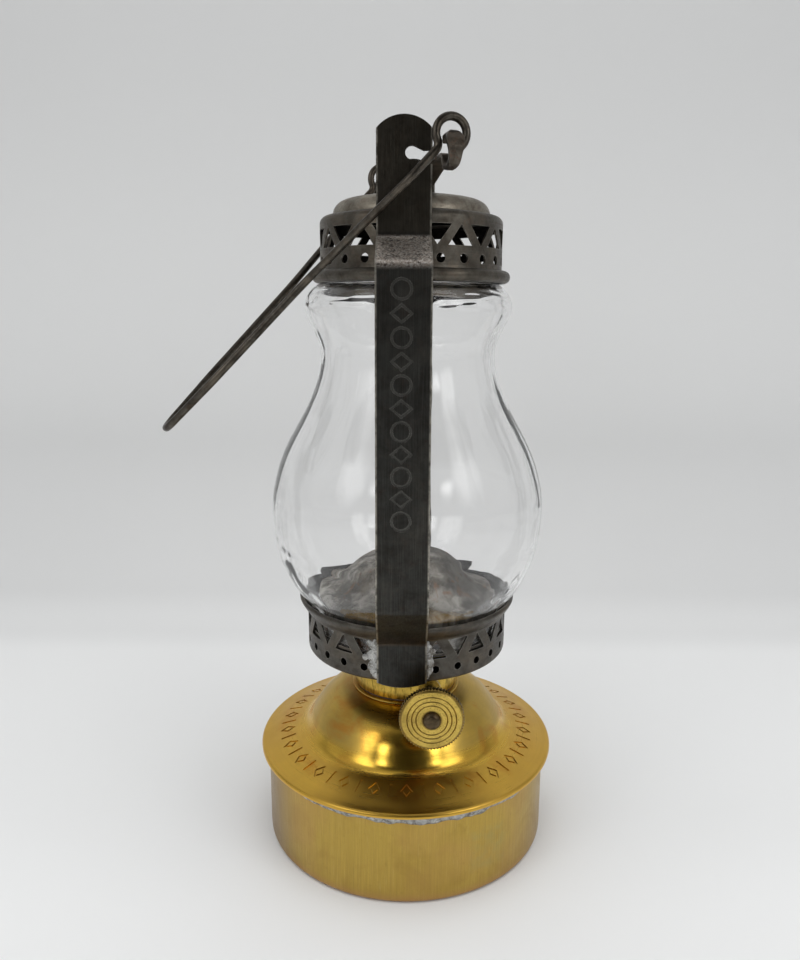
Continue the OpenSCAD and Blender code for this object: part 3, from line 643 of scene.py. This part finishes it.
# ------------------------------------------------------------------ dress the CAD pieces
def smooth_weld_group(angle=30.0, distance=2e-6):
    """Welds face seams and shades smooth below an angle, leaving the vertices in place."""
    group = bpy.data.node_groups.new("smooth_weld", "GeometryNodeTree")
    for way in ("INPUT", "OUTPUT"):
        group.interface.new_socket("Geometry", in_out=way, socket_type="NodeSocketGeometry")
    graph = Graph(group)
    source = graph.node("NodeGroupInput").outputs[0]
    bare = graph.node("GeometryNodeRemoveAttribute", {0: source, "Name": "custom_normal"})
    welded = graph.node("GeometryNodeMergeByDistance",
                        {0: bare.outputs[0], "Distance": distance})
    edge = graph.node("GeometryNodeInputMeshEdgeAngle")
    sharp = graph.node("FunctionNodeCompare",
                       {0: edge.outputs["Unsigned Angle"], 1: math.radians(angle)},
                       data_type="FLOAT", operation="GREATER_THAN")
    marked = graph.node("GeometryNodeStoreNamedAttribute",
                        {"Geometry": welded.outputs[0], "Name": "sharp_edge",
                         "Value": sharp.outputs[0]}, data_type="BOOLEAN", domain="EDGE")
    shaded = graph.node("GeometryNodeSetShadeSmooth", {0: marked.outputs[0]})
    graph.node("NodeGroupOutput", {0: shaded.outputs[0]})
    return group


mats = {}
for build in (brass_wall, brass_top, brass_burner, brass_knob, solder, gasket):
    mats[build.__name__] = build().data
for name, look in STEELS.items():
    mat = steel(name, **look)
    if name in STEEL_EXTRAS:
        STEEL_EXTRAS[name](mat)
    mats[name] = mat.data
for build in (glass, wick_cotton):
    mats[build.__name__] = build().data

smooth_weld = smooth_weld_group()
for part in frame["record"]["subparts"]:
    obj = frame["nodes"][part["node"]]
    obj.data.materials.clear()
    obj.data.materials.append(mats[part["material_slot"]])
    obj.modifiers.new("smooth_weld", "NODES").node_group = smooth_weld


def stand_in(obj, slot, rides, replaces):
    """Gives a built piece its material and puts it in a CAD piece's place."""
    obj.data.materials.append(mats[slot])
    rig.ride(obj, rides)
    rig.replaces(obj, replaces)
    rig.slot(obj, slot)


# ------------------------------------------------------------------ globe: glass with slow waves
GLASS_THICK = 1.05
GLOBE_SEGMENTS = 224
# creases that run up: degrees, foot z, top z, tilt (radians per mm), width
CREASES_UP = (
    (-38, 92, 131, 0.004, 0.8), (-24, 96, 124, -0.003, 1.1), (31, 90, 128, -0.004, 0.9),
    (52, 84, 118, 0.002, 0.8), (118, 90, 126, 0.003, 1.0), (-122, 88, 130, -0.002, 0.9),
    (176, 92, 122, 0.002, 1.0))
# creases that run round: z, sway, phase, width
CREASES_ROUND = ((82.5, 1.3, 0.4, 0.8), (93.5, 1.6, 2.0, 1.0))


def catmull_rom(a, b, c, d, t):
    return 0.5 * ((2 * b) + (c - a) * t + (2 * a - 5 * b + 4 * c - d) * t * t
                  + (3 * b - a - 3 * c + d) * t ** 3)


def smooth_line(points, steps):
    points = [np.array(point, float) for point in points]
    last = len(points) - 1
    line = []
    for i in range(last):
        ends = (points[max(i - 1, 0)], points[i], points[i + 1], points[min(i + 2, last)])
        line += [catmull_rom(*ends, k / steps) for k in range(steps)]
    return np.array(line + [points[-1]])


def globe_profile():
    """(radius, z, inside) up the outer skin, over the lip and down the inner skin."""
    low, high = box_mm("globe")
    belly = (high.x - low.x) / 2
    # radius, z
    outer = smooth_line((
        (25.3, low.z), (25.7, low.z + 0.3), (25.8, low.z + 1), (25.85, 62.5), (26.1, 64.2),
        (27.0, 66.0), (28.9, 68.6), (31.0, 71.8), (32.9, 75.6), (34.3, 79.6),
        (belly - 0.45, 84.0), (belly - 0.02, 89.0), (belly - 0.15, 94.0), (belly - 1.0, 98.5),
        (belly - 2.4, 103.2), (belly - 4.5, 107.9), (belly - 7.9, 114.1), (belly - 10.9, 120.1),
        (22.9, 125.2), (22.2, 129.9), (22.8, 133.4), (24.5, 137.2), (25.8, 139.8),
        (26.15, 142.0), (25.6, 144.3), (24.3, 146.1), (23.0, 147.1), (22.0, high.z)), steps=5)
    tangent = np.gradient(outer, axis=0)
    tangent /= np.linalg.norm(tangent, axis=1)[:, None]
    normal = np.stack([tangent[:, 1], -tangent[:, 0]], 1)      # points away from the glass
    inner = outer - normal * GLASS_THICK
    lip = [outer[-1] - normal[-1] * GLASS_THICK * (0.5 - 0.5 * math.cos(turn))
           + tangent[-1] * 0.28 * math.sin(turn) for turn in (0.6, 1.2, 1.8, 2.4)]
    return ([(r, z, False) for r, z in [*outer, *lip]] + [(r, z, True) for r, z in inner[::-1]])


def crease_depth(angle, z):
    """Shallow creases on the inner skin."""
    depth = 0.0
    for degrees, foot, top, tilt, width in CREASES_UP:
        turn = angle - math.radians(degrees) - tilt * (z - foot)
        away = ((turn + math.pi) % (2 * math.pi) - math.pi) * 28.0      # mm round the glass
        depth += (0.11 * math.exp(-(away / width) ** 2)
                  * clamp((z - foot) / 4) * clamp((top - z) / 4))
    for height, sway, phase, width in CREASES_ROUND:
        away = (z - height - sway * math.sin(2 * angle + phase)
                - 0.5 * math.sin(5 * angle + phase))
        depth += 0.09 * math.exp(-(away / width) ** 2)
    return depth


def wave_depth(angle, z, shift):
    """Slow waves all over, with finer ripples near the foot and the lip."""
    wave = (0.055 * math.sin(3 * angle + z * 0.055 + shift)
            + 0.03 * math.sin(7 * angle - z * 0.09 + 1.3 + 2 * shift)
            + 0.022 * math.sin(z * 0.42 + 2 * math.sin(angle) + shift)
            + 0.014 * math.sin(13 * angle + 0.21 * z))
    foot = clamp((82 - z) / 12)
    lip = clamp((z - 140) / 3)
    # depth, detail round, detail up, share of the shift
    for depth, around, up, share in ((0.10, 3.1, 0.055, 3), (foot * 0.15, 8, 0.30, 1),
                                     (lip * 0.20, 5, 2.0, 1)):
        wave += depth * noise.noise(Vector((math.sin(angle) * around, math.cos(angle) * around,
                                            z * up + shift * share)))
    return wave


def globe():
    profile = globe_profile()
    verts = []
    for radius, z, inside in profile:
        fade = min(clamp((z - 65) / 5), clamp((147.2 - z) / 3))
        for k in range(GLOBE_SEGMENTS):
            angle = 2 * math.pi * k / GLOBE_SEGMENTS
            depth = wave_depth(angle, z, shift=1.9 if inside else 0.0)
            if inside:
                depth += crease_depth(angle, z)
            # the 0.2 sets the skin back, to keep its waves in the CAD box
            setback = (0.2 + depth) * fade * (0.9 if inside else 1)
            verts.append(around_axis(radius - setback, angle, z))
    return ring_mesh("globe_glass", verts, len(profile), GLOBE_SEGMENTS)


stand_in(globe(), "glass", rides="globe", replaces="globe")


# ------------------------------------------------------------------ wick: a woven strip
WICK_STEP = 0.26
WICK_CORNER = 0.8
WICK_INSET = 0.12       # room for the weave inside the CAD box


def wick_outline(half_x, half_y):
    """Rounded rectangle, anticlockwise from the foot of its +X side."""
    flat_x, flat_y = half_x - WICK_CORNER, half_y - WICK_CORNER
    # each side's start and end, and the centre of the corner after it
    sides = (((half_x, -flat_y), (half_x, flat_y), (flat_x, flat_y)),
             ((flat_x, half_y), (-flat_x, half_y), (-flat_x, flat_y)),
             ((-half_x, flat_y), (-half_x, -flat_y), (-flat_x, -flat_y)),
             ((-flat_x, -half_y), (flat_x, -half_y), (flat_x, -flat_y)))
    outline = []
    for quarter, (start, end, center) in enumerate(sides):
        dx, dy = end[0] - start[0], end[1] - start[1]
        steps = max(2, int(math.hypot(dx, dy) / WICK_STEP))
        for k in range(steps):
            outline.append((start[0] + dx * k / steps, start[1] + dy * k / steps))
        for k in range(4):
            angle = math.radians(90 * quarter + 90 * k / 4)
            outline.append((center[0] + WICK_CORNER * math.cos(angle),
                            center[1] + WICK_CORNER * math.sin(angle)))
    return outline


def wick():
    low, high = box_mm("wick")
    half_x = (high.x - low.x) / 2 - WICK_INSET
    half_y = (high.y - low.y) / 2 - WICK_INSET
    outline = wick_outline(half_x, half_y)
    count = len(outline)
    heights = np.arange(low.z + 0.1, high.z - 0.05, WICK_STEP)
    verts, faces = [], []
    for z in heights:
        top = max(0.0, (z - (high.z - 2.5)) / 2.5)      # the last 2.5 mm are frayed
        for x, y in outline:
            on_flank = abs(x) > half_x - WICK_CORNER and abs(y) < half_y - WICK_CORNER
            out_x, out_y = (x / half_x, 0) if on_flank else (0, y / half_y)
            weave = 0.10 * math.sin(y * WEAVE + x * 2) * math.sin(z * WEAVE)
            fray = 0.10 * top * noise.noise(Vector((x * 1.7, y * 1.7, z)))
            sink = 0.5 * top * abs(noise.noise(Vector((x * 0.9, y * 0.9, 3.1))))
            verts.append(((x + out_x * weave + fray) * MM,
                          (y + out_y * weave * 0.5 + fray) * MM, (z - sink) * MM))
    last = (len(heights) - 1) * count
    for row in range(0, last, count):
        for k in range(count):
            l = (k + 1) % count
            faces.append((row + k, row + l, row + count + l, row + count + k))
    faces.append(tuple(reversed(range(count))))
    faces.append(tuple(range(last, last + count)))
    return new_mesh("wick_weave", verts, faces)


stand_in(wick(), "wick_cotton", rides="wick", replaces="wick")


# ------------------------------------------------------------------ uneven solder under the lip
SEAM_SEGMENTS = 480
SEAM_ROWS = 9


def font_seam():
    low, high = box_mm("font_seam")
    widest = FONT_RADIUS + 0.82
    taper_z = 23.95         # above this the widest radius shrinks
    top = high.z - 0.02
    verts = []
    for k in range(SEAM_SEGMENTS):
        angle = 2 * math.pi * k / SEAM_SEGMENTS
        cos, sin = math.cos(angle), math.sin(angle)
        broad = noise.noise(Vector((cos * 5, sin * 5, 0.3)))
        fine = noise.noise(Vector((cos * 17, sin * 17, 1.7)))
        # how far the solder has run down the wall
        drop = 1.15 + 0.9 * broad + 0.5 * fine + 0.35 * math.cos(angle - 0.1)
        bottom = max(low.z + 0.02, 23.7 - max(0.3, drop))
        bulge = max(0.03, 0.42 + 0.25 * fine)
        for j in range(SEAM_ROWS):
            t = j / (SEAM_ROWS - 1)
            z = bottom + (top - bottom) * t
            swell = bulge * math.sin(math.pi * min(1, 0.15 + t)) * (0.35 + 0.65 * t)
            limit = widest if z < taper_z else widest - (z - taper_z) * 0.95
            verts.append(around_axis(min(FONT_RADIUS + 0.02 + swell, limit), angle, z))
        for z in (top, bottom):
            verts.append(around_axis(FONT_RADIUS - 0.01, angle, z))
    return ring_mesh("font_seam_solder", verts, SEAM_SEGMENTS, SEAM_ROWS + 2)


stand_in(font_seam(), "solder", rides="font", replaces="font_seam")


# ------------------------------------------------------------------ solder at the straps' feet
def add_ball(bm, x, z, radius, lift, back, flatness):
    """A flattened ball on the band, at the front strap or turned round to the back one."""
    normal = Vector((x, -math.sqrt(BAND_RADIUS ** 2 - x ** 2), 0)).normalized()
    center = Vector((x, -math.sqrt(BAND_RADIUS ** 2 - x ** 2), z)) + normal * lift
    if back:
        center.x, center.y = -center.x, -center.y
    turn = math.atan2(normal.x, -normal.y) + (math.pi if back else 0)
    size = Matrix.Diagonal((radius, radius * 0.30 * flatness, radius * 1.15, 1))
    place = Matrix.Translation(center * MM) @ Matrix.Rotation(turn, 4, "Z") @ size
    bmesh.ops.create_icosphere(bm, subdivisions=3, radius=MM, matrix=place)


def add_foot_solder(bm, back, hand):
    """Solder beside one edge of a strap; hand is the edge's side, -1 or 1 along X."""
    def rough(x, y, z):
        return noise.noise(Vector((x, y, z)))

    edge = hand * STRAP_HALF - STRAP_SHIFT
    bead, width, phase = (0.70, 3.0, 0.6) if hand < 0 else (0.52, 1.8, 2.0)
    for k in range(26):         # bead against the strap's edge
        wander = rough(k * 0.83 + back * 9, hand * 3.1, back * 5.3)
        add_ball(bm, edge + hand * (0.25 + 0.25 * wander), 53.9 + 8.9 * (k / 25),
                 max(0.40, bead + 0.35 * wander), 0.05, back, flatness=1.7)
    for k in range(46):         # thin ragged run over the band
        t = clamp(rough(k * 3.7, hand * 5.9 + 0.5, back * 3.3 + 0.2) * 0.9 + 0.5)
        reach = width * (0.35 + 0.65 * abs(math.sin(2.3 * t * math.pi + phase)))
        spread = abs(rough(k * 1.9 + 7, hand * 2.2, back * 4.1)) * 1.8
        add_ball(bm, edge + hand * min(reach, 0.2 + reach * min(1, spread)), 54.0 + 8.3 * t,
                 0.62 + 0.40 * abs(rough(k * 2.9, 1.1, hand)), 0.0, back, flatness=0.95)


def strap_solder():
    bm = bmesh.new()
    for back in (0, 1):
        for hand in (-1, 1):
            add_foot_solder(bm, back, hand)
    mesh = bpy.data.meshes.new("strap_solder_blobs")
    bm.to_mesh(mesh)
    bm.free()
    obj = link(bpy.data.objects.new("strap_solder_blobs", mesh))
    # melt the balls into one skin
    remesh = obj.modifiers.new("remesh", "REMESH")
    remesh.mode = "VOXEL"
    remesh.voxel_size = 0.13 * MM
    relax = obj.modifiers.new("relax", "SMOOTH")
    relax.factor = 0.5
    relax.iterations = 3
    depsgraph = bpy.context.evaluated_depsgraph_get()
    melted = bpy.data.meshes.new_from_object(obj.evaluated_get(depsgraph))
    obj.modifiers.clear()
    obj.data = melted
    melted.polygons.foreach_set("use_smooth", [True] * len(melted.polygons))
    return obj


stand_in(strap_solder(), "solder", rides="burner", replaces="strap_solder")


# ------------------------------------------------------------------ studio, in metres
def sweep_white():
    """Near-white backdrop with painted light and shade: its brightness varies gently with height and depth (in mm)."""
    mat = Material("sweep_white")
    black = (0, 0, 0)
    # painted light and shade by height: brightest on the floor, dimmer where the sweep turns up, brighter again up to
    # 110 mm and darker above 120 mm
    higher = mat.add(mat.ramp(mat.z, (20.0, 110.0), (0.0, 0.09), ease=True),
                     mat.ramp(mat.z, (120.0, 300.0), (0.0, -0.18), ease=True))
    by_height = mat.add(mat.ramp(mat.z, (0.0, 9.0), (0.94, 0.85), ease=True), higher)
    # painted light on the floor in front of the lamp, where its shadow falls, and painted shade at the back of the
    # floor where it meets the curve
    by_depth = mat.mul(mat.ramp(mat.y, (5.0, -45.0), (1.0, 1.06), ease=True),
                       mat.ramp(mat.y, (105.0, 130.0), (1.0, 0.91), ease=True))
    color = mat.mix(mat.mul(by_height, by_depth), black, (0.835, 0.842, 0.84))
    clouds = mat.ramp(mat.noise(0.004, detail=3), (0.3, 0.7))
    mat.set(color=mat.mix(clouds, color, mat.mix(0.985, black, color)), rough=0.9, spec=0.1)
    return mat


def sweep():
    """Floor that curves up into a back wall."""
    bend_y, bend, half_width = 0.125, 0.075, 1.6
    profile = [(-2.2, 0.0), (bend_y, 0.0)]      # y, z
    for degrees in range(6, 91, 6):
        angle = math.radians(degrees)
        profile.append((bend_y + bend * math.sin(angle), bend - bend * math.cos(angle)))
    profile.append((bend_y + bend, 1.6))
    verts = [(x, y, z) for y, z in profile for x in (-half_width, half_width)]
    faces = [(2 * i, 2 * i + 1, 2 * i + 3, 2 * i + 2) for i in range(len(profile) - 1)]
    return new_mesh("studio_sweep", verts, faces)


floor = sweep()
floor.data.materials.append(sweep_white().data)
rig.stage(floor)

# name, place, aim, width and height, watts, and how far out from its middle (0 to 0.5)
# the box stays at full strength (None: even all over)
SOFT_BOXES = (
    ("top_box", (0.0, -0.06, 0.62), (0, 0, 0), (0.66, 0.56), 2.0, None),
    ("left_box", (-0.38, -0.33, 0.36), (0, 0, 0.08), (0.26, 0.46), 0.75, 0.20),
    ("right_box", (0.40, -0.31, 0.36), (0, 0, 0.08), (0.26, 0.46), 0.85, 0.20),
    ("front_left", (-0.23, -0.45, 0.32), (0, 0, 0.06), (0.16, 0.20), 0.40, 0.08),
    ("front_right", (0.30, -0.43, 0.32), (0, 0, 0.06), (0.16, 0.20), 0.42, 0.08),
)


def soft_box(name, place, aim, size, watts, core):
    light = bpy.data.lights.new(name, "AREA")
    light.shape = "RECTANGLE"
    light.size, light.size_y = size
    light.energy = watts
    if core is not None:
        light.use_nodes = True
        graph = Graph(light.node_tree)
        spot = graph.node("ShaderNodeNewGeometry").outputs["Parametric"]
        away = graph.vector("DISTANCE", spot, (0.5, 0.5, 0.0))
        glow = graph.node("ShaderNodeEmission",
                          {"Strength": graph.ramp(away, (0.5, core), ease=True)})
        graph.node("ShaderNodeOutputLight", {0: glow.outputs[0]})
    obj = link(bpy.data.objects.new(name, light))
    obj.location = place
    obj.rotation_euler = (Vector(aim) - Vector(place)).to_track_quat("-Z", "Y").to_euler()
    return obj


boxes = {row[0]: soft_box(*row) for row in SOFT_BOXES}
boxes["top_box"].visible_glossy = False


def studio_world(level=0.51):
    """Even grey room with a dark side behind the camera that only mirrored rays see."""
    world = bpy.data.worlds.new("studio")
    scene.world = world
    world.use_nodes = True
    graph = Graph(world.node_tree)
    toward = graph.node("ShaderNodeTexCoord").outputs["Generated"]
    axes = graph.node("ShaderNodeSeparateXYZ", {0: toward}).outputs
    dark_way = Vector((0.03, -1, 0.55)).normalized()
    facing = graph.vector("DOT_PRODUCT", toward, dark_way)
    front = graph.ramp(facing, (0.65, 0.93), (1.0, 0.10), ease=True)
    side = graph.ramp(axes[1], (-0.9, 0.1), (0.62, 1.0), ease=True)
    above = graph.ramp(axes[2], (0.0, 0.9), (0.80, 1.0), ease=True)
    ray = graph.node("ShaderNodeLightPath").outputs
    soft = graph.math("MAXIMUM", ray["Is Diffuse Ray"], ray["Is Transmission Ray"])
    strength = graph.node("ShaderNodeMix",
                          {0: graph.mul(soft, above),
                           2: graph.mul(graph.mul(front, side), above), 3: 1.04},
                          data_type="FLOAT")
    room = graph.node("ShaderNodeBackground", {"Strength": strength.outputs[0],
                                               "Color": (level, level, level * 1.01)})
    graph.node("ShaderNodeOutputWorld", {0: room.outputs[0]})


studio_world()


def camera(place=(-0.0019, -0.20488, 0.14147), tilt_down=12.16, roll=0.25):
    data = bpy.data.cameras.new("camera")
    data.sensor_width = 36.0
    data.sensor_fit = "AUTO"
    data.lens = 29.775
    data.clip_start = 0.005
    data.clip_end = 20
    obj = link(bpy.data.objects.new("camera", data))
    obj.matrix_world = (Matrix.Translation(place)
                        @ Matrix.Rotation(math.radians(90 - tilt_down), 4, "X")
                        @ Matrix.Rotation(math.radians(roll), 4, "Z"))
    return obj


scene.camera = camera()
scene.view_settings.view_transform = "Standard"
scene.cycles.max_bounces = 24
scene.cycles.transmission_bounces = 18
scene.cycles.transparent_max_bounces = 16
scene.cycles.glossy_bounces = 12
scene.cycles.use_denoising = True

visual_box = [list(map(float, corner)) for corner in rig.bounds()]
try:
    with open("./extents.json", "w") as size_file:
        json.dump({"cad": cad_box, "visual": visual_box}, size_file)
except OSError:
    pass        # the folder may be missing or read-only; the lamp doesn't need the file
